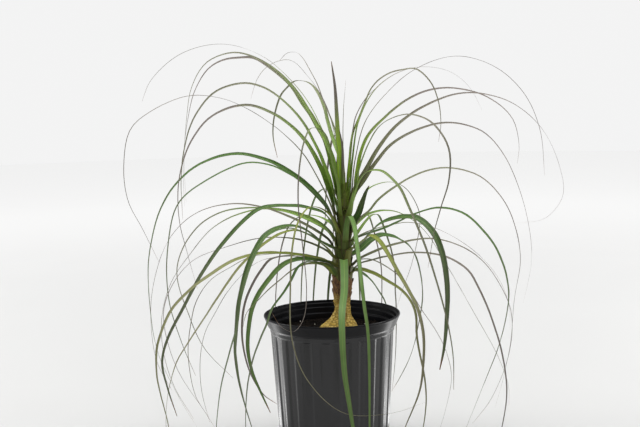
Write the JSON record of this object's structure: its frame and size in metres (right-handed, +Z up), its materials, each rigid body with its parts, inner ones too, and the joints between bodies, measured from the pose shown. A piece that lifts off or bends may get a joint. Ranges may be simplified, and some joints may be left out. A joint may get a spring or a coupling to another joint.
{
  "type": "potted ponytail palm",
  "caption": "Potted ponytail palm: fountain of long arching grassy leaves on a short stem with a swollen foot, in a plain black ribbed nursery pot; stands on a flat surface.",
  "frame": {"origin": "centre of the pot's flat underside, on the surface that the pot stands on", "axes": "+Z up; the picture is taken from -Y, with +X to its right"},
  "size_m": [0.5415, 0.4102, 0.4902],
  "materials": {
    "pot_plastic": "satin, moulded with vertical flutes",
    "potting_soil": "rough, loose and damp with a few white specks",
    "trunk_bark": "matt cracked bark, brown dry leaf bases above",
    "old_leaf": "satin, finely ribbed, with purplish brown edges and tips",
    "leaf": "satin, finely ribbed, with purplish brown tips",
    "young_leaf": "satin, bright yellow-green at the heart"
  },
  "bodies": {
    "root": {"pot": "pot_plastic", "soil": "potting_soil", "trunk": "trunk_bark", "leaf_tier_01": "old_leaf", "leaf_tier_02": "old_leaf", "leaf_tier_03": "old_leaf", "leaf_tier_04": "old_leaf", "leaf_tier_05": "leaf", "leaf_tier_06": "leaf", "leaf_tier_07": "leaf", "leaf_tier_08": "leaf", "leaf_tier_09": "young_leaf", "leaf_tier_10": "young_leaf", "leaf_tier_11": "young_leaf", "leaf_tier_12": "young_leaf"}
  },
  "joints": []
}
